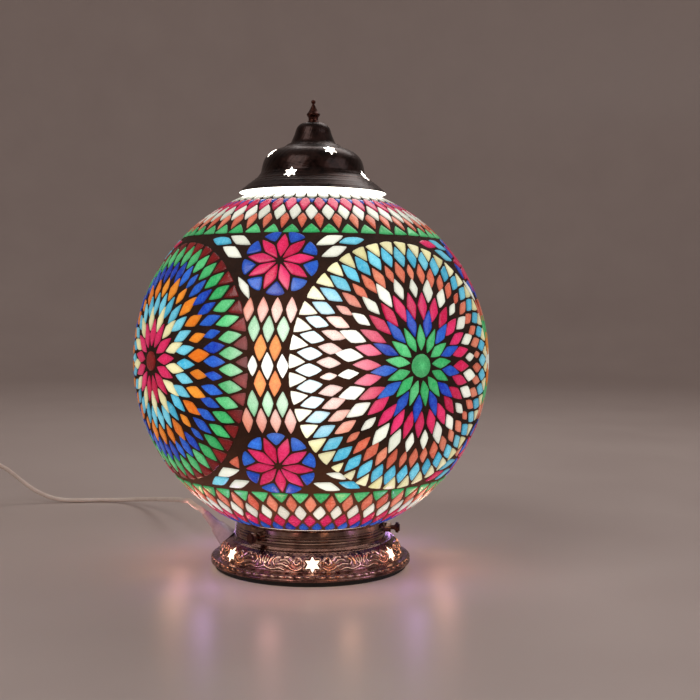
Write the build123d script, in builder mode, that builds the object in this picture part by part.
from build123d import *
import os
import random
from math import sin, cos, radians, degrees, sqrt

os.makedirs("parts", exist_ok=True)

# Mosaic glass table lamp: a spun metal foot, a glass globe covered in tiles, a pierced cap
# with a finial, and a cord with an inline switch and a two-pin plug.
# Millimetres, +Z up, origin on the table under the lamp's axis, front of the lamp towards -Y.
# Longitudes are in degrees round the axis from the front, positive towards +X.

# -------------------------------------------------------- shared dimensions
GLOBE_Z = 175.0                 # height of the globe's centre
FACE_R = 150.0                  # outer face of the mosaic
TILE_T = 1.9
TILE_R = FACE_R - TILE_T        # underside of the tiles
BED_R = 147.7                   # outside of the cement bed
GLASS_R = 147.2                 # outside of the clear blank
GLASS_T = 2.6

SHEET_T = 1.2                   # pressed sheet of the foot and the gallery
FLANGE_Z = 27.0                 # top of the foot, underside of the gallery floor
FLOOR_TOP = FLANGE_Z + SHEET_T
NECK_R = 59.0                   # lower neck of the blank, standing on the gallery floor
COLLAR_R = 44.0                 # upper mouth of the blank

SCREW_LONS = (-40.0, 80.0, 200.0)
SCREW_Z = 33.6
NIPPLE_R = 4.95
NIPPLE_HOLE_R = NIPPLE_R + 0.15

CORD_R = 2.3
CORD_HOLE_R = CORD_R + 0.1
GLAND_LON, GLAND_R, GLAND_Z = -92.0, 71.8, 21.8     # where the gland crosses the skirt
GLAND_OUT, GLAND_UP = 0.68, 0.73                    # its slope, outward and upward

SWITCH_X, SWITCH_Y = -358.0, 91.0
SWITCH_L, SWITCH_W, SWITCH_H = 62.0, 27.0, 18.0
SWITCH_SPLIT = SWITCH_H / 2     # the shells meet here, at the cord's middle
PLUG_X, PLUG_Y = -350.0, -44.0  # where the cord enters the plug
PLUG_L, PLUG_W, PLUG_H = 36.0, 35.0, 13.7


# ------------------------------------------------------------------ helpers
def save(part, name):
    part.label = name
    export_step(part, "parts/" + name + ".step")


def radial(lon):
    return Vector(sin(radians(lon)), -cos(radians(lon)), 0)


def sideways(lon):
    """Level direction at right angles to the radius at this longitude."""
    return Vector(0, 0, 1).cross(radial(lon)).normalized()


def around(lon, radius, z):
    return radial(lon) * radius + Vector(0, 0, z)


def wall_plane(lon, radius, z, normal_out, normal_up):
    """Plane on a turned wall, with its normal leaning outward and upward as given."""
    normal = (radial(lon) * normal_out + Vector(0, 0, normal_up)).normalized()
    return Plane(origin=around(lon, radius, z), x_dir=sideways(lon), z_dir=normal)


def screw_plane(lon, radius):
    """Plane across a thumb screw, at this distance from the lamp's axis."""
    return Plane(origin=around(lon, 0, SCREW_Z), x_dir=(0, 0, 1),
                 z_dir=radial(lon)).offset(radius)


def star(tip_r, root_r):
    """Six-pointed star with one tip up."""
    outline = []
    for i in range(12):
        angle = radians(90.0 + 30.0 * i)
        radius = root_r if i % 2 else tip_r
        outline.append((radius * cos(angle), radius * sin(angle)))
    return outline


def offset_profile(points, distance):
    """A second open profile, to the right-hand side of the first."""
    normals = []
    for (x, z), (next_x, next_z) in zip(points, points[1:]):
        length = sqrt((next_x - x) ** 2 + (next_z - z) ** 2)
        normals.append(((next_z - z) / length, (x - next_x) / length))
    out = []
    for i, (x, z) in enumerate(points):
        beside = normals[max(i - 1, 0):i + 1]
        sum_x = sum(normal[0] for normal in beside)
        sum_z = sum(normal[1] for normal in beside)
        length = sqrt(sum_x ** 2 + sum_z ** 2)
        mitre_x, mitre_z = sum_x / length, sum_z / length
        # sharp corners are held back to a limited mitre
        mitre = max(0.55, mitre_x * beside[-1][0] + mitre_z * beside[-1][1])
        out.append((x + mitre_x * distance / mitre, z + mitre_z * distance / mitre))
    return out


def save_turned(name, outline):
    """Turn a closed (radius, height) outline about the lamp's axis and save it."""
    with BuildPart() as turned:
        with BuildSketch(Plane.XZ):
            with BuildLine():
                Polyline(*outline, close=True)
            make_face()
        revolve(axis=Axis.Z)
    save(turned.part, name)


# =============================================================== METAL FOOT
LIP_Z = 4.2                     # underside of the turned-in lip
LIP_IN_R = 79.5
# outer face of the spun skirt, top to bottom: (radius, height)
SKIRT = [(52.0, FLANGE_Z), (64.2, FLANGE_Z), (66.6, 25.2), (70.6, 22.9), (74.3, 19.4),
         (76.6, 15.2), (77.9, 11.6), (78.8, 10.4), (81.2, 9.7), (83.2, 9.5),
         (84.5, 8.6), (84.9, 7.4), (84.6, 6.4), (85.3, 5.9), (85.3, LIP_Z)]
# inner face: the last two points are fitted by hand to meet the lip
SKIRT_IN = offset_profile(SKIRT, SHEET_T)[:-2] + [(84.0, 6.0), (84.1, LIP_Z + SHEET_T)]
FOOT_STAR_TIP_R, FOOT_STAR_ROOT_R = 6.3, 3.4
FOOT_STAR_LON = 1.0             # longitude of the first of the six stars
FOOT_STAR_AT = (75.9, 16.6, 0.88, 0.475)    # radius, height, normal outward and upward
GLAND_HOLE_R = 4.8

gland_axis = (radial(GLAND_LON) * GLAND_OUT + Vector(0, 0, GLAND_UP)).normalized()
gland_side = sideways(GLAND_LON)
gland_base = around(GLAND_LON, GLAND_R, GLAND_Z)


def gland_plane(distance):
    """Plane across the gland; positive distances are outside the foot."""
    return Plane(origin=gland_base + gland_axis * distance, x_dir=gland_side,
                 z_dir=gland_axis)


with BuildPart() as foot_shell:
    with BuildSketch(Plane.XZ):
        with BuildLine():
            Polyline(*SKIRT)
            Polyline(SKIRT[-1], (LIP_IN_R, LIP_Z), (LIP_IN_R, LIP_Z + SHEET_T), SKIRT_IN[-1])
            Polyline(*reversed(SKIRT_IN))
            Line(SKIRT_IN[0], SKIRT[0])
        make_face()
    revolve(axis=Axis.Z)
    for k in range(6):
        with BuildSketch(wall_plane(FOOT_STAR_LON + 60.0 * k, *FOOT_STAR_AT)):
            Polygon(*star(FOOT_STAR_TIP_R, FOOT_STAR_ROOT_R), align=None)
        extrude(amount=5, both=True, mode=Mode.SUBTRACT)
    with BuildSketch(gland_plane(2)):
        Circle(GLAND_HOLE_R)
    extrude(amount=-8, mode=Mode.SUBTRACT)
save(foot_shell.part, "foot_shell")

# rubber mat that closes the underside; its raised rim is bonded to the lip
MAT_R, MAT_RIM_IN_R = 82.0, 77.0
MAT_FLOOR_T = 1.6
with BuildPart() as base_mat:
    with BuildSketch(Plane.XY):
        Circle(MAT_R)
    extrude(amount=LIP_Z)
    with BuildSketch(Plane.XY.offset(MAT_FLOOR_T)):
        Circle(MAT_RIM_IN_R)
    extrude(amount=3.0, mode=Mode.SUBTRACT)
    chamfer(base_mat.edges().filter_by(GeomType.CIRCLE).group_by(Axis.Z)[0], 0.5)
save(base_mat.part, "base_mat")

# gallery: a pan with a grooved wall, three screw bosses and a vented floor
RING_R, RING_TOP = 64.0, 41.4
RING_IN_R = RING_R - SHEET_T
# outer face of the wall, bottom to top, then over the rim: (radius, height)
GALLERY_WALL = [(RING_R, FLANGE_Z), (RING_R, 28.6), (64.7, 29.3), (64.7, 30.2),
                (RING_R, 30.9), (64.6, 31.7), (64.6, 32.6), (RING_R, 33.3),
                (64.5, 34.1), (64.5, 35.0), (RING_R, 35.7), (RING_R, 39.2),
                (64.9, 39.8), (65.3, 40.6), (64.9, RING_TOP), (RING_IN_R, RING_TOP)]
VENT_OUT_R, VENT_IN_R, VENT_RIB_W = 49.5, 20.0, 9
BOSS_R, BOSS_START, BOSS_END = 3.9, 63.2, 69.2          # ends are distances from the axis
TIP_BORE_R, TIP_BORE_START, TIP_BORE_END = 2.95, 61.0, 66.2
SHANK_BORE_R, SHANK_BORE_START, SHANK_BORE_L = 1.95, 66.0, 4.0
with BuildPart() as gallery_ring:
    with BuildSketch(Plane.XZ):
        with BuildLine():
            Polyline((NIPPLE_HOLE_R, FLANGE_Z), *GALLERY_WALL, (RING_IN_R, FLOOR_TOP),
                     (NIPPLE_HOLE_R, FLOOR_TOP), close=True)
        make_face()
    revolve(axis=Axis.Z)
    # six kidney-shaped vents let light down into the foot
    with BuildSketch(Plane.XY.offset(FLANGE_Z)):
        Circle(VENT_OUT_R)
        Circle(VENT_IN_R, mode=Mode.SUBTRACT)
        with PolarLocations(0, 3):
            Rectangle(120, VENT_RIB_W, mode=Mode.SUBTRACT)
    extrude(amount=SHEET_T, mode=Mode.SUBTRACT)
    for lon in SCREW_LONS:
        with BuildSketch(screw_plane(lon, BOSS_START)):
            Circle(BOSS_R)
        extrude(amount=BOSS_END - BOSS_START)
    for lon in SCREW_LONS:
        with BuildSketch(screw_plane(lon, TIP_BORE_START)):
            Circle(TIP_BORE_R)
        extrude(amount=TIP_BORE_END - TIP_BORE_START, mode=Mode.SUBTRACT)
        with BuildSketch(screw_plane(lon, SHANK_BORE_START)):
            Circle(SHANK_BORE_R)
        extrude(amount=SHANK_BORE_L, mode=Mode.SUBTRACT)
save(gallery_ring.part, "gallery_ring")

# strap under the foot's flange that the nipple pulls the gallery down to
CROSSBAR_L, CROSSBAR_W, CROSSBAR_T = 118, 14, 2.0
CROSSBAR_Z = FLANGE_Z - SHEET_T - CROSSBAR_T
with BuildPart() as crossbar:
    with BuildSketch(Plane.XY.offset(CROSSBAR_Z)):
        SlotOverall(CROSSBAR_L, CROSSBAR_W)
        Circle(NIPPLE_HOLE_R, mode=Mode.SUBTRACT)
    extrude(amount=CROSSBAR_T)
save(crossbar.part, "crossbar")

NIPPLE_BORE_R, NIPPLE_Z, NIPPLE_L = 3.2, 17.0, 38.0
with BuildPart() as threaded_nipple:
    with BuildSketch(Plane.XY.offset(NIPPLE_Z)):
        Circle(NIPPLE_R)
        Circle(NIPPLE_BORE_R, mode=Mode.SUBTRACT)
    extrude(amount=NIPPLE_L)
    outer_edges = threaded_nipple.edges().filter_by(GeomType.CIRCLE).sort_by(SortBy.RADIUS)[-2:]
    chamfer(outer_edges, 0.5)
save(threaded_nipple.part, "threaded_nipple")

# one nut under the crossbar, one on the gallery floor
NUT_CORNER_R, NUT_BORE_R, NUT_H = 8.1, 5.0, 3.0
with BuildPart() as nipple_nuts:
    for z in (CROSSBAR_Z - NUT_H, FLOOR_TOP):
        with BuildSketch(Plane.XY.offset(z)):
            RegularPolygon(NUT_CORNER_R, 6)
            Circle(NUT_BORE_R, mode=Mode.SUBTRACT)
        extrude(amount=NUT_H)
save(nipple_nuts.part, "nipple_nuts")

# =============================================================== LAMPHOLDER
HOLDER_R, HOLDER_IN_R = 19.5, 17.6
HOLDER_SPLIT = 62.0             # height where the cap meets the body
CORE_R, CORE_Z, CORE_TOP = 17.2, 63.0, 74.0
TERMINAL_Y = 8.0

# turned outlines: (radius, height)
save_turned("lampholder_cap", [
    (5.0, 44.0), (8.6, 44.0), (9.2, 48.0), (14.5, 50.5), (18.4, 54.5), (HOLDER_R, 60.0),
    (HOLDER_R, HOLDER_SPLIT), (HOLDER_IN_R, HOLDER_SPLIT), (HOLDER_IN_R, 60.2),
    (16.8, 55.6), (13.6, 52.4), (8.6, 50.4), (8.0, 56.0), (5.0, 56.0)])

save_turned("lampholder_body", [
    (HOLDER_IN_R, HOLDER_SPLIT), (HOLDER_R, HOLDER_SPLIT), (HOLDER_R, 66.0), (20.3, 66.5),
    (20.3, 68.5), (HOLDER_R, 69.0), (HOLDER_R, 94.0), (20.6, 94.6), (20.6, 99.0),
    (19.2, 101.5), (17.0, 101.5), (17.0, 76.0), (HOLDER_IN_R, 75.6)])

with BuildPart() as lampholder_core:
    with BuildSketch(Plane.XY.offset(CORE_Z)):
        Circle(CORE_R)
    extrude(amount=CORE_TOP - CORE_Z)
    with BuildSketch(Plane.XY.offset(CORE_Z)):
        with Locations((0, TERMINAL_Y), (0, -TERMINAL_Y)):
            Circle(1.6)
    extrude(amount=7.0, mode=Mode.SUBTRACT)
save(lampholder_core.part, "lampholder_core")

# threaded sleeve round the bulb's cap
SLEEVE_R, SLEEVE_IN_R, SLEEVE_H = 13.9, 13.4, 24.0
with BuildPart() as thread_sleeve:
    with BuildSketch(Plane.XY.offset(CORE_TOP)):
        Circle(SLEEVE_R)
        Circle(SLEEVE_IN_R, mode=Mode.SUBTRACT)
    extrude(amount=SLEEVE_H)
save(thread_sleeve.part, "thread_sleeve")

# bent strip under the bulb's contact: (x, z)
CONTACT_W = 5.0
CONTACT_STRIP = [(-9, CORE_TOP), (9, CORE_TOP), (9, 74.6), (5, 74.6), (2, 77.0),
                 (-2, 77.0), (-2.4, 76.4), (1.7, 76.4), (3.9, 74.6), (-9, 74.6)]
with BuildPart() as centre_contact:
    with BuildSketch(Plane.XZ.offset(-CONTACT_W / 2)):
        with BuildLine():
            Polyline(*CONTACT_STRIP, close=True)
        make_face()
    extrude(amount=CONTACT_W)
save(centre_contact.part, "centre_contact")

# slotted screws driven up into the core
TERMINAL_HEAD_H = 2.0
TERMINAL_HEAD_Z = CORE_Z - TERMINAL_HEAD_H
with BuildPart() as terminal_screws:
    for y in (TERMINAL_Y, -TERMINAL_Y):
        with BuildSketch(Plane(origin=(0, y, TERMINAL_HEAD_Z), z_dir=(0, 0, 1))):
            Circle(2.7)
        extrude(amount=TERMINAL_HEAD_H)
        with BuildSketch(Plane(origin=(0, y, CORE_Z), z_dir=(0, 0, 1))):
            Circle(1.5)
        extrude(amount=5.5)
        with BuildSketch(Plane(origin=(0, y, TERMINAL_HEAD_Z), z_dir=(0, 0, 1))):
            Rectangle(5.6, 0.7)
        extrude(amount=0.8, mode=Mode.SUBTRACT)
save(terminal_screws.part, "terminal_screws")

# ===================================================================== BULB
BULB_Z, BULB_R, BULB_GLASS_T = 154.0, 30.0, 1.0     # centre and radius of the round end
BULB_IN_R = BULB_R - BULB_GLASS_T
BULB_NECK_Z = 101.0

save_turned("bulb_cap", [
    (5.2, 78.4), (9.0, 78.6), (11.6, 80.4), (13.0, 81.4), (13.0, BULB_NECK_Z),
    (12.4, BULB_NECK_Z), (12.4, 81.8), (5.2, 79.2)])

save_turned("bulb_contact", [(0, 77.05), (3.4, 77.2), (4.9, 78.2), (4.9, 79.6), (0, 79.6)])

# outside of the envelope going up and inside coming down: (radius, height)
BULB_OUT = [(13.4, BULB_NECK_Z), (14.6, 105.0), (16.6, 110.5), (19.2, 116.5),
            (22.2, 123.0), (25.2, 129.5), (27.6, 136.0), (29.2, 143.0), (29.9, 150.0),
            (BULB_R, BULB_Z)]
BULB_IN = [(BULB_IN_R, BULB_Z), (28.9, 150.0), (28.2, 143.2), (26.6, 136.3), (24.2, 129.9),
           (21.3, 123.4), (18.3, 117.0), (15.6, 110.9), (13.6, 105.2), (12.4, BULB_NECK_Z)]
with BuildPart() as bulb_glass:
    with BuildSketch(Plane.XZ):
        with BuildLine():
            Polyline(*BULB_OUT)
            CenterArc((0, BULB_Z), BULB_R, 0, 90)
            Line((0, BULB_Z + BULB_R), (0, BULB_Z + BULB_IN_R))
            CenterArc((0, BULB_Z), BULB_IN_R, 0, 90)
            Polyline(*BULB_IN)
            Line(BULB_IN[-1], BULB_OUT[0])
        make_face()
    revolve(axis=Axis.Z)
save(bulb_glass.part, "bulb_glass")

# =========================================================== CORD AND GLAND
# a square boss and a tapering sleeve outside the skirt, a round shank inside it
# sections along the gland: (distance, size) for the boss, then for the sleeve
GLAND_BOSS = ((0, (17.0, 15.5)), (13.5, (11.6, 10.6)))
GLAND_SLEEVE = ((13.3, 4.7), (29.0, 3.0))
with BuildPart() as gland_body:
    for distance, (width, height) in GLAND_BOSS:
        with BuildSketch(gland_plane(distance)):
            RectangleRounded(width, height, 2.6)
    loft()
    for distance, radius in GLAND_SLEEVE:
        with BuildSketch(gland_plane(distance)):
            Circle(radius)
    loft()
    with BuildSketch(gland_plane(0.2)):
        Circle(4.6)
    extrude(amount=-8.2)
    with BuildSketch(gland_plane(-9)):
        Circle(CORD_HOLE_R)
    extrude(amount=40, mode=Mode.SUBTRACT)
save(gland_body.part, "gland_body")

with BuildPart() as gland_nut:
    with BuildSketch(gland_plane(-3.1)):
        RegularPolygon(6.3, 6)
        Circle(4.65, mode=Mode.SUBTRACT)
    extrude(amount=-3.6)
save(gland_nut.part, "gland_nut")

# the cord, in two lengths: lamp to switch, and switch to plug
CORD_IN_SWITCH = 5.0            # length of cord inside each end of the switch
CORD_IN_PLUG = 8.0
# middle of the cord between the gland and the switch: (x, y, z)
CORD_LIE = [
    (-99.3, 12.5, 46.3), (-106.6, 32, 47.0), (-115.4, 66, 42.1), (-126.2, 112, 34.6),
    (-140.9, 160, 26.4), (-156.9, 205, 18.4), (-173.7, 243, 11.6), (-197.6, 276, 5.2),
    (-218.5, 287, 2.9), (-243.9, 288, 2.5), (-265.5, 285, 2.7), (-283.0, 284, 5.0),
    (-307.0, 284, 15.4), (-324.5, 283, 29.2), (-342.9, 279, 42.6), (-357.0, 262, 46.0),
    (-364.0, 232, 36.0), (-364.0, 190, 19.0), (-360.0, 152, 11.0)]
# and between the switch and the plug
PLUG_CORD_LIE = [(-357.0, 40.0, 5.6), (-354.0, 8.0, 2.8), (-351.0, -20.0, 4.2)]

cord_start = gland_base + gland_axis * -11.0
cord_exit = gland_base + gland_axis * 30.0
switch_back = SWITCH_Y + SWITCH_L / 2       # end towards +Y, where the lamp's cord enters
switch_front = SWITCH_Y - SWITCH_L / 2
back_entry = (SWITCH_X, switch_back, SWITCH_SPLIT)
front_entry = (SWITCH_X, switch_front, SWITCH_SPLIT)
plug_cord_start = (SWITCH_X, switch_front + CORD_IN_SWITCH, SWITCH_SPLIT)
plug_entry = (PLUG_X, PLUG_Y, PLUG_H / 2)

with BuildPart() as lamp_cord:
    with BuildLine():
        Line(cord_start, cord_exit)
        Spline(cord_exit, *CORD_LIE, back_entry, tangents=(gland_axis, (0, -1, 0)),
               tangent_scalars=(1.0, 1.0))
        Line(back_entry, (SWITCH_X, switch_back - CORD_IN_SWITCH, SWITCH_SPLIT))
    with BuildSketch(Plane(origin=cord_start, z_dir=gland_axis)):
        Circle(CORD_R)
    sweep()
with BuildPart() as plug_cord:
    with BuildLine():
        Line(plug_cord_start, front_entry)
        Spline(front_entry, *PLUG_CORD_LIE, plug_entry, tangents=((0, -1, 0), (0, -1, 0)))
        Line(plug_entry, (PLUG_X, PLUG_Y - CORD_IN_PLUG, PLUG_H / 2))
    with BuildSketch(Plane(origin=plug_cord_start, z_dir=(0, -1, 0))):
        Circle(CORD_R)
    sweep()
save(Compound([lamp_cord.part.solid(), plug_cord.part.solid()]), "supply_cord")

# two insulated cores from the cord's stripped end up the nipple to the terminals
WIRE_R = 0.95
WIRE_Y = 1.4                    # half the spacing of the two inside the foot
WIRE_RISE_Z, WIRE_SPREAD_Z = 16.0, 54.0     # ends of the straight run up the nipple
wires = []
for side in (1, -1):
    wire_start = cord_start - gland_axis * 0.4 + gland_side * (1.25 * side)
    y = WIRE_Y * side
    with BuildPart() as core_wire:
        with BuildLine():
            Spline(wire_start, (-46.0, y, 8.6), (-22.0, y, 6.4), (-5.5, y, 8.6),
                   (0, y, WIRE_RISE_Z), tangents=(gland_axis * -1, (0, 0, 1)))
            Line((0, y, WIRE_RISE_Z), (0, y, WIRE_SPREAD_Z))
            Spline((0, y, WIRE_SPREAD_Z), (0, 3.4 * side, 59.0), (0, 5.9 * side, 60.0),
                   tangents=((0, 0, 1), (0, side, 0)))
        with BuildSketch(Plane(origin=wire_start, z_dir=gland_axis * -1)):
            Circle(WIRE_R)
        sweep()
    wires.append(core_wire.part.solid())
save(Compound(wires), "core_wires")

# ============================================================ INLINE SWITCH
SWITCH_WALL = 2.2
SWITCH_CORNER_R, SWITCH_CAVITY_CORNER_R = 7.0, 5.0
SWITCH_CAVITY = (SWITCH_W - 2 * SWITCH_WALL, SWITCH_L - 2 * SWITCH_WALL)
SWITCH_SCREWS = ((7.0, 24.0), (-7.0, -24.0))    # (x, y) from the switch's centre
SWITCH_HEAD_Z, SWITCH_HEAD_H = 0.5, 2.0
PIVOT_Z, PIVOT_R, PIVOT_HOLE_R = 14.0, 1.0, 1.05
ROCKER_TILT = 8.0
ROCKER_W = 11.2


def switch_level(z, x=0.0, y=0.0):
    """Level plane at height z, centred x, y from the switch's centre."""
    return Plane(origin=(SWITCH_X + x, SWITCH_Y + y, z), x_dir=(1, 0, 0), z_dir=(0, 0, 1))


pivot_plane = Plane(origin=(SWITCH_X, SWITCH_Y, PIVOT_Z), x_dir=(0, 1, 0), z_dir=(1, 0, 0))
cord_plane = Plane(origin=(SWITCH_X, SWITCH_Y, SWITCH_SPLIT), x_dir=(1, 0, 0),
                   z_dir=(0, 1, 0))

with BuildPart() as switch_lower_shell:
    with BuildSketch(switch_level(0)):
        RectangleRounded(SWITCH_W, SWITCH_L, SWITCH_CORNER_R)
    extrude(amount=SWITCH_SPLIT)
    chamfer(switch_lower_shell.faces().sort_by(Axis.Z)[0].edges(), 1.0)
    with BuildSketch(switch_level(SWITCH_WALL)):
        RectangleRounded(*SWITCH_CAVITY, SWITCH_CAVITY_CORNER_R)
    extrude(amount=7.0, mode=Mode.SUBTRACT)
    # screw posts, counterbored from below
    with BuildSketch(switch_level(2.0)):
        with Locations(*SWITCH_SCREWS):
            Circle(4.0)
    extrude(amount=7.0)
    with Locations(*[switch_level(0).location * Location((x, y, 0), (180, 0, 0))
                     for x, y in SWITCH_SCREWS]):
        CounterBoreHole(radius=1.55, counter_bore_radius=3.0, counter_bore_depth=2.6,
                        depth=9.2)
    with BuildSketch(cord_plane):
        Circle(CORD_HOLE_R)
    extrude(amount=SWITCH_L / 2 + 2, both=True, mode=Mode.SUBTRACT)
save(switch_lower_shell.part, "switch_lower_shell")

with BuildPart() as switch_upper_shell:
    with BuildSketch(switch_level(SWITCH_SPLIT)):
        RectangleRounded(SWITCH_W, SWITCH_L, SWITCH_CORNER_R)
    extrude(amount=SWITCH_H - SWITCH_SPLIT)
    fillet(switch_upper_shell.faces().sort_by(Axis.Z)[-1].edges(), 2.2)
    with BuildSketch(switch_level(SWITCH_SPLIT)):
        RectangleRounded(*SWITCH_CAVITY, SWITCH_CAVITY_CORNER_R)
    extrude(amount=SWITCH_H - SWITCH_SPLIT - SWITCH_WALL, mode=Mode.SUBTRACT)
    # screw posts, and a block each side for the rocker's pin
    with BuildSketch(switch_level(SWITCH_SPLIT)):
        with Locations(*SWITCH_SCREWS):
            Circle(3.6)
        with Locations((8.2, 0), (-8.2, 0)):
            Rectangle(3.6, 6.0)
    extrude(amount=7.4)
    with BuildSketch(switch_level(SWITCH_SPLIT)):
        with Locations(*SWITCH_SCREWS):
            Circle(1.5)
    extrude(amount=5.0, mode=Mode.SUBTRACT)
    # window for the rocker
    with BuildSketch(switch_level(14.0)):
        Rectangle(12.4, 22.0)
    extrude(amount=6.0, mode=Mode.SUBTRACT)
    with BuildSketch(pivot_plane):
        Circle(PIVOT_HOLE_R)
    extrude(amount=9.0, both=True, mode=Mode.SUBTRACT)
    with BuildSketch(cord_plane):
        Circle(CORD_HOLE_R)
    extrude(amount=SWITCH_L / 2 + 2, both=True, mode=Mode.SUBTRACT)
save(switch_upper_shell.part, "switch_upper_shell")

# side view of the rocker about its pin: (along the switch, up)
ROCKER = [(-9.7, -1.4), (-3.4, -2.6), (3.4, -2.6), (9.7, -1.4), (9.7, 6.0),
          (5.0, 5.3), (0, 5.0), (-5.0, 5.3), (-9.7, 6.0)]
tilt = radians(ROCKER_TILT)
rocker_plane = Plane(origin=(SWITCH_X, SWITCH_Y, PIVOT_Z), x_dir=(0, cos(tilt), sin(tilt)),
                     z_dir=(1, 0, 0))
with BuildPart() as switch_rocker:
    with BuildSketch(rocker_plane):
        with BuildLine():
            Polyline(*ROCKER, close=True)
        make_face()
        Circle(PIVOT_HOLE_R, mode=Mode.SUBTRACT)
    extrude(amount=ROCKER_W / 2, both=True)
save(switch_rocker.part, "switch_rocker")

with BuildPart() as rocker_pin:
    with BuildSketch(pivot_plane):
        Circle(PIVOT_R)
    extrude(amount=8.6, both=True)
save(rocker_pin.part, "rocker_pin")

# a flat pad on the lower shell's floor at each end, with an upright blade
PAD_Y, PAD_T = 13.0, 1.2
with BuildPart() as switch_contacts:
    for y in (PAD_Y, -PAD_Y):
        with BuildSketch(switch_level(SWITCH_WALL, y=y)):
            Rectangle(5.0, 9.0)
        extrude(amount=PAD_T)
        with BuildSketch(switch_level(SWITCH_WALL + PAD_T, y=y * 0.7)):
            Rectangle(5.0, 1.0)
        extrude(amount=4.0)
save(switch_contacts.part, "switch_contacts")

# cross-slotted screws with their heads underneath
with BuildPart() as switch_screws:
    for x, y in SWITCH_SCREWS:
        with BuildSketch(switch_level(SWITCH_HEAD_Z, x, y)):
            Circle(2.8)
        extrude(amount=SWITCH_HEAD_H)
        with BuildSketch(switch_level(SWITCH_HEAD_Z + SWITCH_HEAD_H, x, y)):
            Circle(1.45)
        extrude(amount=10.5)
        with BuildSketch(switch_level(SWITCH_HEAD_Z, x, y)):
            Rectangle(3.4, 0.7)
            Rectangle(0.7, 3.4)
        extrude(amount=1.0, mode=Mode.SUBTRACT)
save(switch_screws.part, "switch_screws")

# ===================================================================== PLUG
PIN_PITCH, PIN_R, PIN_L = 18.6, 2.0, 19.0
PIN_ROOT_R, PIN_ROOT_L = 1.6, 9.0           # moulded-in end of a pin
PIN_SPOTS = ((PIN_PITCH / 2, 0), (-PIN_PITCH / 2, 0))
# sections from the cord's end: (distance, width, height, corner radius)
PLUG_SECTIONS = ((0, 9.0, 8.4, 3.0), (14.0, 17.0, 11.6, 4.6),
                 (26.0, 33.0, PLUG_H, 6.2), (PLUG_L, PLUG_W, PLUG_H, 6.5))
plug_tail = Plane(origin=plug_entry, x_dir=(1, 0, 0), z_dir=(0, -1, 0))

with BuildPart() as plug_body:
    for distance, width, height, corner_r in PLUG_SECTIONS:
        with BuildSketch(plug_tail.offset(distance)):
            RectangleRounded(width, height, corner_r)
    loft()
    with BuildSketch(plug_tail):
        Circle(CORD_HOLE_R)
    extrude(amount=CORD_IN_PLUG + 0.2, mode=Mode.SUBTRACT)
    with BuildSketch(plug_tail.offset(PLUG_L)):
        with Locations(*PIN_SPOTS):
            Circle(PIN_ROOT_R)
    extrude(amount=-PIN_ROOT_L, mode=Mode.SUBTRACT)
save(plug_body.part, "plug_body")

with BuildPart() as plug_pins:
    with BuildSketch(plug_tail.offset(PLUG_L - PIN_ROOT_L)):
        with Locations(*PIN_SPOTS):
            Circle(PIN_ROOT_R)
    extrude(amount=PIN_ROOT_L)
    with BuildSketch(plug_tail.offset(PLUG_L)):
        with Locations(*PIN_SPOTS):
            Circle(PIN_R)
    extrude(amount=PIN_L)
    fillet(plug_pins.faces().sort_by(Axis.Y)[0:2].edges(), 0.9)
save(plug_pins.part, "plug_pins")

# ============================================================= THUMB SCREWS
# distances from the lamp's axis
TIP_START = NECK_R + 0.06
TIP_SOCKET_START = NECK_R + 1.6
SHANK_START, SHANK_END = NECK_R + 1.7, 73.4
HEAD_START, HEAD_L = 73.2, 2.4
HEAD_R, KNURL_COUNT, KNURL_R = 4.4, 18, 0.28


def save_screw_tip(number, lon):
    """Soft tip that bears on the glass neck and slides without turning."""
    with BuildPart() as screw_tip:
        with BuildSketch(screw_plane(lon, TIP_START)):
            Circle(2.75)
        extrude(amount=3.5)
        with BuildSketch(screw_plane(lon, TIP_SOCKET_START)):
            Circle(1.95)
        extrude(amount=3.0, mode=Mode.SUBTRACT)
    save(screw_tip.part, "screw_tip_%d" % number)


def save_thumb_screw(number, lon):
    """M4 shank with a knurled head, a boss outside it and a flange inside it."""
    with BuildPart() as thumb_screw:
        with BuildSketch(screw_plane(lon, SHANK_START)):
            Circle(1.9)
        extrude(amount=SHANK_END - SHANK_START)
        with BuildSketch(screw_plane(lon, HEAD_START)):
            Circle(HEAD_R)
            with PolarLocations(HEAD_R, KNURL_COUNT):
                Circle(KNURL_R, mode=Mode.SUBTRACT)
        extrude(amount=HEAD_L)
        with BuildSketch(screw_plane(lon, HEAD_START + HEAD_L)):
            Circle(3.1)
        extrude(amount=1.0)
        with BuildSketch(screw_plane(lon, 72.3)):
            Circle(2.7)
        extrude(amount=1.0)
    save(thumb_screw.part, "thumb_screw_%d" % number)


for number, lon in enumerate(SCREW_LONS, 1):
    save_screw_tip(number, lon)
    save_thumb_screw(number, lon)

# ============================================================== GLASS GLOBE
GLASS_IN_R = GLASS_R - GLASS_T
NECK_IN_R = NECK_R - GLASS_T
COLLAR_IN_R = COLLAR_R - GLASS_T
COLLAR_TOP = 329.0
BED_LAT_TOP, BED_LAT_BOTTOM = 66.3, -62.4   # edges of the cement bed


def on_globe(globe_r, radius, side):
    """(radius, height) point on a sphere about the globe's centre; side 1 above, -1 below."""
    return (radius, GLOBE_Z + side * sqrt(globe_r * globe_r - radius * radius))


def at_latitude(globe_r, lat):
    return (globe_r * cos(radians(lat)), GLOBE_Z + globe_r * sin(radians(lat)))


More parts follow.
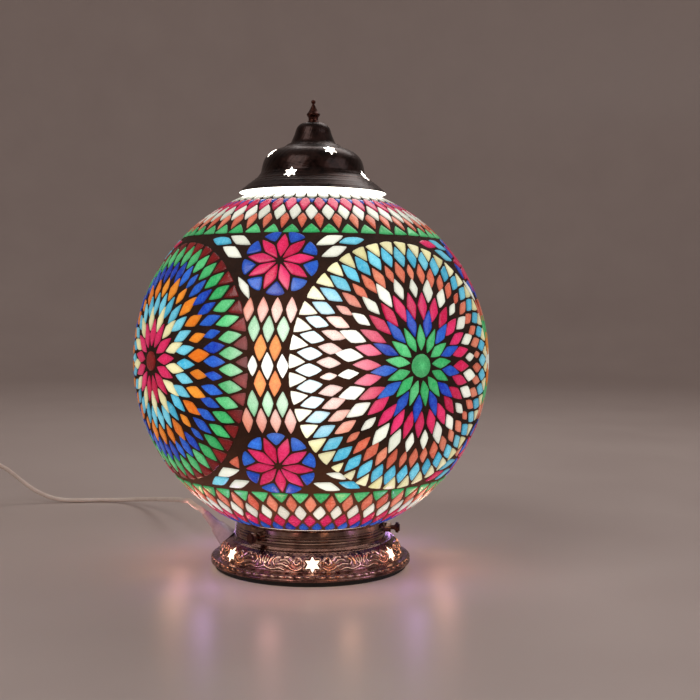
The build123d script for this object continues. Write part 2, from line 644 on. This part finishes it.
low_out = on_globe(GLASS_R, 61.5, -1)
high_out = on_globe(GLASS_R, COLLAR_R + 1.2, 1)
high_in = on_globe(GLASS_IN_R, COLLAR_IN_R, 1)
low_in = on_globe(GLASS_IN_R, 58.8, -1)
with BuildPart() as glass_globe:
    with BuildSketch(Plane.XZ):
        with BuildLine():
            Polyline((NECK_IN_R, FLOOR_TOP), (NECK_R, FLOOR_TOP), (NECK_R, 38.4),
                     (NECK_R + 0.8, 40.4), low_out)
            ThreePointArc(low_out, (GLASS_R, GLOBE_Z), high_out)
            Polyline(high_out, (COLLAR_R, 317.0), (COLLAR_R, COLLAR_TOP),
                     (COLLAR_IN_R, COLLAR_TOP), high_in)
            ThreePointArc(high_in, (GLASS_IN_R, GLOBE_Z), low_in)
            Polyline(low_in, (57.2, 41.4), (NECK_IN_R, 38.8), (NECK_IN_R, FLOOR_TOP))
        make_face()
    revolve(axis=Axis.Z)
save(glass_globe.part, "glass_globe")

bed_bottom, bed_top = at_latitude(BED_R, BED_LAT_BOTTOM), at_latitude(BED_R, BED_LAT_TOP)
glass_bottom, glass_top = at_latitude(GLASS_R, BED_LAT_BOTTOM), at_latitude(GLASS_R, BED_LAT_TOP)
with BuildPart() as grout_bed:
    with BuildSketch(Plane.XZ):
        with BuildLine():
            ThreePointArc(bed_bottom, at_latitude(BED_R, 0), bed_top)
            Line(bed_top, glass_top)
            ThreePointArc(glass_top, at_latitude(GLASS_R, 0), glass_bottom)
            Line(glass_bottom, bed_bottom)
        make_face()
    revolve(axis=Axis.Z)
save(grout_bed.part, "grout_bed")

# ====================================================================== CAP
CAP_T = 1.0
CAP_TOP = 376.0
CAP_RIM_Z = 316.4
CAP_HOLE_R = 2.1
# outer face, rim to top: (radius, height)
DOME = [(62.4, CAP_RIM_Z), (61.7, 317.6), (57.4, 321.2), (53.3, 324.4), (49.6, 327.0),
        (46.5, 329.9), (44.3, 333.2), (43.5, 336.4), (42.8, 340.0), (41.3, 344.2),
        (38.4, 348.4), (34.2, 351.4), (29.0, 353.6), (24.6, 355.4), (22.6, 356.8),
        (20.2, 357.6), (18.6, 359.4), (17.2, 362.6), (15.6, 366.4), (14.6, 369.4),
        (13.6, 371.8), (11.6, 374.2), (8.6, 375.7), (5.0, CAP_TOP)]
DOME_IN = [(61.5, CAP_RIM_Z), *offset_profile(DOME, -CAP_T)[1:-1], (5.0, CAP_TOP - CAP_T)]
# the two rows of stars: (radius, height, normal outward, normal upward)
CAP_STAR_ROWS = ((46.9, 329.6, 0.74, 0.67), (36.9, 349.6, 0.50, 0.87))
with BuildPart() as cap_dome:
    with BuildSketch(Plane.XZ):
        with BuildLine():
            Polyline(*DOME)
            Polyline(DOME[-1], (CAP_HOLE_R, CAP_TOP), (CAP_HOLE_R, CAP_TOP - CAP_T),
                     DOME_IN[-1])
            Polyline(*reversed(DOME_IN))
            Line(DOME_IN[0], DOME[0])
        make_face()
    revolve(axis=Axis.Z)
    # eight pierced stars, lower and upper row by turns
    for k in range(8):
        with BuildSketch(wall_plane(-23.0 + 45.0 * k, *CAP_STAR_ROWS[k % 2])):
            Polygon(*star(5.5, 3.1), align=None)
        extrude(amount=5, both=True, mode=Mode.SUBTRACT)
save(cap_dome.part, "cap_dome")

# bead of sealant between the collar and the inside of the cap
save_turned("cap_seal", [
    (COLLAR_R, 323.4), (45.4, 323.4), (46.6, 325.0), (46.4, 327.0), (45.2, 328.2),
    (COLLAR_R, 328.2)])

save_turned("finial", [
    (0, 366.0), (1.9, 366.0), (1.9, CAP_TOP), (4.9, CAP_TOP), (4.9, 377.0), (4.3, 377.8),
    (4.3, 380.6), (4.9, 381.4), (5.7, 382.6), (5.7, 383.4), (4.2, 385.2), (2.7, 388.0),
    (1.5, 390.6), (0.9, 391.6), (1.2, 392.2), (1.8, 393.2), (1.8, 394.2), (1.2, 395.2),
    (0, 395.7)])

# nut on the finial's stem, against the underside of the cap
FINIAL_NUT_H = 3.2
with BuildPart() as finial_nut:
    with BuildSketch(Plane.XY.offset(CAP_TOP - CAP_T - FINIAL_NUT_H)):
        RegularPolygon(4.0, 6)
        Circle(1.95, mode=Mode.SUBTRACT)
    extrude(amount=FINIAL_NUT_H)
save(finial_nut.part, "finial_nut")

# =================================================================== MOSAIC
# A tile is an outline of unit vectors from the globe's centre.  Tiles are gathered by the
# piece they belong to.  Angles are degrees.  The order of the random draws sets every
# tile's shape, so tiles have to be added in the same order.
TILE_GAP = 0.32                 # least joint between two tiles
NEAR_ANGLE = 9.0                # tiles further apart than this are never compared
rng = random.Random(41)
tiles = {}


def direction(lon, lat):
    return (cos(radians(lat)) * sin(radians(lon)), -cos(radians(lat)) * cos(radians(lon)),
            sin(radians(lat)))


def dot(a, b):
    return a[0] * b[0] + a[1] * b[1] + a[2] * b[2]


def lonlat(points, jitter=0.18):
    """Outline from (longitude, latitude) corners, each a little off as if cut by hand."""
    out = []
    for lon, lat in points:
        shrink = cos(radians(lat))
        out.append(direction(lon + rng.uniform(-jitter, jitter) / shrink,
                             lat + rng.uniform(-jitter, jitter)))
    return out


def polar(centre, points, jitter=0.16):
    """Outline from (distance, bearing) corners about a (longitude, latitude) centre;
    bearings run clockwise from up."""
    lon, lat = radians(centre[0]), radians(centre[1])
    middle = direction(*centre)
    up = (-sin(lat) * sin(lon), sin(lat) * cos(lon), cos(lat))
    east = (cos(lon), sin(lon), 0.0)
    out = []
    for distance, bearing in points:
        distance += rng.uniform(-jitter, jitter)
        bearing += degrees(rng.uniform(-jitter, jitter) / max(distance, 2.0))
        far, turn = radians(distance), radians(bearing)
        heading = [up[i] * cos(turn) + east[i] * sin(turn) for i in range(3)]
        out.append(tuple(middle[i] * cos(far) + heading[i] * sin(far) for i in range(3)))
    return out


def add_tile(piece, outline):
    tiles.setdefault(piece, []).append(outline)


# In the rings below, inner, wide and outer are distances from the centre, half is half a
# tile's width in bearing, and sway pushes the ring off centre.
def sway_at(sway, bearing):
    return sway * cos(radians(bearing - 195.0))


def disc(piece, centre):
    add_tile(piece, polar(centre, [(2.95, k * 30.0) for k in range(12)], 0.05))


def ring(piece, centre, count, phase, inner, wide, outer, half, sway=0.0):
    """Ring of kites."""
    for k in range(count):
        bearing = phase + k * 360.0 / count
        shift = sway_at(sway, bearing)
        add_tile(piece, polar(centre, [(inner + shift, bearing), (wide + shift, bearing + half),
                                       (outer + shift, bearing),
                                       (wide + shift, bearing - half)]))


def paired_ring(piece, centre, phase, inner, wide, outer, half):
    """Ring of thirteen pairs of kites."""
    for k in range(13):
        for side in (-7.1, 7.1):
            bearing = phase + k * 360.0 / 13 + side
            add_tile(piece, polar(centre, [(inner, bearing), (wide, bearing + half),
                                           (outer, bearing), (wide, bearing - half)]))


def border(piece, centre, count, phase, inner, outer, half, sway=0.0):
    """Ring of wedges pointing inward."""
    for k in range(count):
        bearing = phase + k * 360.0 / count
        shift = sway_at(sway, bearing)
        add_tile(piece, polar(centre, [(inner + shift, bearing), (outer + shift, bearing + half),
                                       (outer + shift + 0.15, bearing),
                                       (outer + shift, bearing - half)]))


def medallion_a(lon):
    centre = (lon, 1.2)
    disc("tiles_a_green", centre)
    ring("tiles_a_green", centre, 13, 2.0, 4.2, 7.6, 12.0, 12.0)
    ring("tiles_a_blue", centre, 13, 15.8, 8.3, 12.1, 16.7, 7.6)
    paired_ring("tiles_a_crimson", centre, 15.8, 13.4, 17.5, 21.7, 5.6)
    ring("tiles_a_white", centre, 26, 2.0, 18.9, 22.9, 27.0, 5.0)
    ring("tiles_a_salmon", centre, 44, 3.0, 24.9, 28.3, 31.9, 3.35, sway=0.35)
    ring("tiles_a_turquoise", centre, 44, 3.0 + 180.0 / 44, 30.3, 33.8, 37.5, 3.3, sway=0.5)
    border("tiles_a_cream", centre, 44, 3.0, 34.6, 39.3, 3.35, sway=0.5)


def medallion_b(lon):
    centre = (lon, 1.2)
    disc("tiles_b_dark_red", centre)
    ring("tiles_b_pink", centre, 13, 0.0, 4.4, 8.2, 12.8, 12.0)
    ring("tiles_b_cream", centre, 13, 14.0, 9.0, 12.8, 17.0, 7.4)
    paired_ring("tiles_b_turquoise", centre, 14.0, 13.8, 17.2, 21.1, 5.5)
    ring("tiles_orange", centre, 26, 0.2, 18.8, 22.6, 26.6, 5.0)
    ring("tiles_b_blue", centre, 42, 2.0, 24.4, 28.0, 31.8, 3.5)
    ring("tiles_b_green", centre, 42, 2.0 + 180.0 / 42, 29.9, 33.5, 37.3, 3.4)
    border("tiles_b_dark_red", centre, 42, 2.0, 34.3, 38.6, 3.4)


# rows of kites between two medallions: (latitude, count, piece)
COLUMN_ROWS = [(17.2, 4, "tiles_salmon"), (11.7, 3, "tiles_green"), (6.4, 2, "tiles_orange"),
               (1.4, 3, "tiles_white"), (-3.6, 2, "tiles_orange"), (-9.3, 3, "tiles_green"),
               (-14.3, 4, "tiles_salmon")]


def column(lon):
    for lat, count, piece in COLUMN_ROWS:
        for k in range(count):
            x = lon + (k - (count - 1) / 2.0) * 4.3
            add_tile(piece, lonlat([(x - 1.75, lat), (x, lat - 3.75), (x + 1.75, lat),
                                    (x, lat + 3.75)], 0.14))


def rosette(lon, lat, turn, rim):
    """Nine crimson petals with blue tiles between them, out to the rim."""
    centre = (lon, lat)
    for k in range(9):
        petal = turn + 40.0 * k
        add_tile("tiles_crimson", polar(centre, [(1.25, petal), (5.9, petal + 16.6),
                                                 (9.9, petal), (5.9, petal - 16.6)], 0.1))
        between = petal + 20.0
        add_tile("tiles_blue", polar(centre, [
            (7.0, between), (rim - 0.45, between + 14.6), (rim, between + 6.0),
            (rim, between - 6.0), (rim - 0.45, between - 14.6)], 0.1))


# long slanted tiles beside the upper and lower rosettes, on the side of lower longitude:
# (longitude from the rosette's centre, latitude)
UPPER_CORNER = [
    [(-31.2, 40.7), (-28.5, 41.5), (-23.7, 41.2), (-21.0, 39.1), (-27.5, 38.6)],
    [(-23.0, 41.8), (-16.6, 41.8), (-12.5, 38.3), (-18.8, 38.6)],
    [(-23.8, 37.6), (-18.5, 37.7), (-14.2, 33.9), (-19.6, 34.1)]]
LOWER_CORNER = [
    [(-29.4, -37.6), (-25.8, -34.5), (-19.9, -34.5), (-23.8, -37.4)],
    [(-21.4, -38.0), (-17.3, -34.9), (-11.6, -34.9), (-16.1, -38.0)],
    [(-24.1, -33.9), (-20.3, -30.5), (-14.2, -31.0), (-19.2, -33.7)]]
# pieces of the three tiles in a corner, for alternate columns
CORNER_PIECES = (("tiles_turquoise", "tiles_white", "tiles_white"),
                 ("tiles_crimson", "tiles_turquoise", "tiles_turquoise"))
UPPER_SHIFT, LOWER_SHIFT = 1.4, 1.8     # rosettes' longitudes from their column's


def corners(lon, kind):
    """The tiles that fill the corners around one column's rosettes."""
    for mirror in (1, -1):
        for middle, corner in ((lon + UPPER_SHIFT, UPPER_CORNER),
                               (lon + LOWER_SHIFT, LOWER_CORNER)):
            for piece, points in zip(CORNER_PIECES[kind], corner):
                add_tile(piece, lonlat([(middle + mirror * x, lat) for x, lat in points], 0.15))
    # one tall slim tile beside the upper rosette and a small wedge beside the lower one
    add_tile("tiles_white", lonlat([(lon - 11.9, 27.2), (lon - 7.6, 24.5), (lon - 6.8, 20.2),
                                    (lon - 10.4, 23.4)], 0.1))
    add_tile("tiles_salmon", lonlat([(lon - 15.4, -28.3), (lon - 12.2, -30.1),
                                     (lon - 11.6, -25.9)], 0.1))


# bands of 45 tiles round the globe, above the medallions and then below them:
# (piece, first tile's longitude, drift of each tile, jitter of its corners,
#  corners as (longitude from the tile's own, latitude))
BAND_COUNT = 45
BANDS = [
    ("tiles_green", -8.8, 0.25, 0.1, [(-3.5, 43.4), (3.5, 43.4), (0, 47.1)]),
    ("tiles_salmon", -4.8, 0.25, 0.18, [(-2.2, 49.8), (0, 45.2), (2.2, 49.8), (0, 52.3)]),
    ("tiles_white", -8.6, 0.25, 0.18, [(-3.0, 53.2), (0, 49.2), (3.0, 53.2), (0, 57.2)]),
    ("tiles_crimson", -4.6, 0.25, 0.18,
     [(-3.2, 58.2), (0, 53.8), (3.2, 58.2), (1.2, 61.6), (-1.2, 61.6)]),
    ("tiles_blue", -8.6, None, 0.08, [(-1.9, 61.0), (0, 58.5), (1.9, 61.0)]),
    ("tiles_collar", -8.6, None, 0.05,
     [(-3.3, 64.2), (-2.6, 62.6), (0, 61.8), (2.6, 62.6), (3.3, 64.2), (3.3, 66.0),
      (-3.3, 66.0)]),
    ("tiles_green", -4.2, 0.25, 0.1, [(-3.2, -39.5), (0, -43.9), (3.2, -39.5)]),
    ("tiles_salmon", -8.4, 0.3, 0.18, [(-2.4, -44.6), (0, -48.5), (2.4, -44.6), (0, -40.4)]),
    ("tiles_white", -4.4, 0.25, 0.18,
     [(-2.75, -49.3), (0, -53.2), (2.75, -49.3), (0, -45.2)]),
    ("tiles_crimson", -8.5, 0.25, 0.18,
     [(-3.2, -54.4), (0, -58.5), (3.2, -54.4), (0, -50.4)]),
    ("tiles_blue", -4.5, None, 0.08,
     [(-3.0, -60.0), (-1.6, -61.4), (1.6, -61.4), (3.0, -60.0), (0, -55.9)])]


def bands():
    for k in range(BAND_COUNT):
        for piece, first, drift, jitter, points in BANDS:
            lon = first + 360.0 / BAND_COUNT * k
            if drift is not None:
                lon += rng.uniform(-drift, drift)
            add_tile(piece, lonlat([(lon + x, lat) for x, lat in points], jitter))


medallion_a(33.1)
medallion_a(213.1)
medallion_b(-56.9)
medallion_b(123.1)
for quarter in range(4):
    lon = -12.5 + 90.0 * quarter
    column(lon)
    rosette(lon + UPPER_SHIFT, 32.6, turn=1.0, rim=11.1)
    rosette(lon + LOWER_SHIFT, -28.8, turn=180.0, rim=10.8)
    corners(lon, quarter % 2)
bands()


def centre_of(outline):
    total = [sum(corner[i] for corner in outline) for i in range(3)]
    length = sqrt(dot(total, total))
    return tuple(c / length for c in total)


def flatten(outline, normal):
    """Outline projected from the globe's centre on to the plane touching it at normal, mm."""
    level = sqrt(normal[0] ** 2 + normal[1] ** 2)
    x_axis = (-normal[1] / level, normal[0] / level, 0.0)
    y_axis = (normal[1] * x_axis[2] - normal[2] * x_axis[1],
              normal[2] * x_axis[0] - normal[0] * x_axis[2],
              normal[0] * x_axis[1] - normal[1] * x_axis[0])
    return [(dot(corner, x_axis) / dot(corner, normal) * TILE_R,
             dot(corner, y_axis) / dot(corner, normal) * TILE_R) for corner in outline]


def gap(first, second):
    """Widest clear strip between two outlines, along the normals of their edges."""
    normal = centre_of([centre_of(first), centre_of(second)])
    flat_first, flat_second = flatten(first, normal), flatten(second, normal)
    widest = -1e9
    for flat in (flat_first, flat_second):
        for i in range(len(flat)):
            dx, dy = flat[i][0] - flat[i - 1][0], flat[i][1] - flat[i - 1][1]
            length = sqrt(dx * dx + dy * dy)
            if length < 1e-6:
                continue
            across_x, across_y = dy / length, -dx / length
            reach_first = [x * across_x + y * across_y for x, y in flat_first]
            reach_second = [x * across_x + y * across_y for x, y in flat_second]
            widest = max(widest, min(reach_second) - max(reach_first),
                         min(reach_first) - max(reach_second))
    return widest


def trim_tiles():
    """Shrink tiles that come closer than the joint, a little at a time."""
    places = [(piece, i) for piece in tiles for i in range(len(tiles[piece]))]
    middles = [centre_of(tiles[piece][i]) for piece, i in places]
    near_cos = cos(radians(NEAR_ANGLE))
    near = [(a, b) for a in range(len(places)) for b in range(a + 1, len(places))
            if dot(middles[a], middles[b]) > near_cos]
    for _ in range(24):
        tight = set()
        for a, b in near:
            (piece_a, i_a), (piece_b, i_b) = places[a], places[b]
            if gap(tiles[piece_a][i_a], tiles[piece_b][i_b]) < TILE_GAP:
                tight.update((a, b))
        if not tight:
            break
        for a in tight:
            piece, i = places[a]
            middle = centre_of(tiles[piece][i])
            tiles[piece][i] = [tuple(middle[k] + (corner[k] - middle[k]) * 0.97
                                     for k in range(3)) for corner in tiles[piece][i]]


def tile_solid(outline):
    """Flat tile lying on the plane that touches the tiles' inner sphere at its middle."""
    normal = centre_of(outline)
    plane = Plane(origin=(normal[0] * TILE_R, normal[1] * TILE_R,
                          GLOBE_Z + normal[2] * TILE_R), z_dir=normal)
    flat = []
    for corner in outline:
        reach = TILE_R / dot(corner, normal)
        point = plane.to_local_coords(Vector(corner[0] * reach, corner[1] * reach,
                                             GLOBE_Z + corner[2] * reach))
        flat.append((point.X, point.Y))
    # a clockwise outline is turned round, so the tile is raised outward
    double_area = sum(flat[i - 1][0] * flat[i][1] - flat[i][0] * flat[i - 1][1]
                      for i in range(len(flat)))
    if double_area < 0:
        flat.reverse()
    with BuildPart() as tile:
        with BuildSketch(plane):
            Polygon(*flat, align=None)
        extrude(amount=TILE_T)
    return tile.part.solid()


trim_tiles()
for piece, outlines in tiles.items():
    save(Compound([tile_solid(outline) for outline in outlines]), piece)
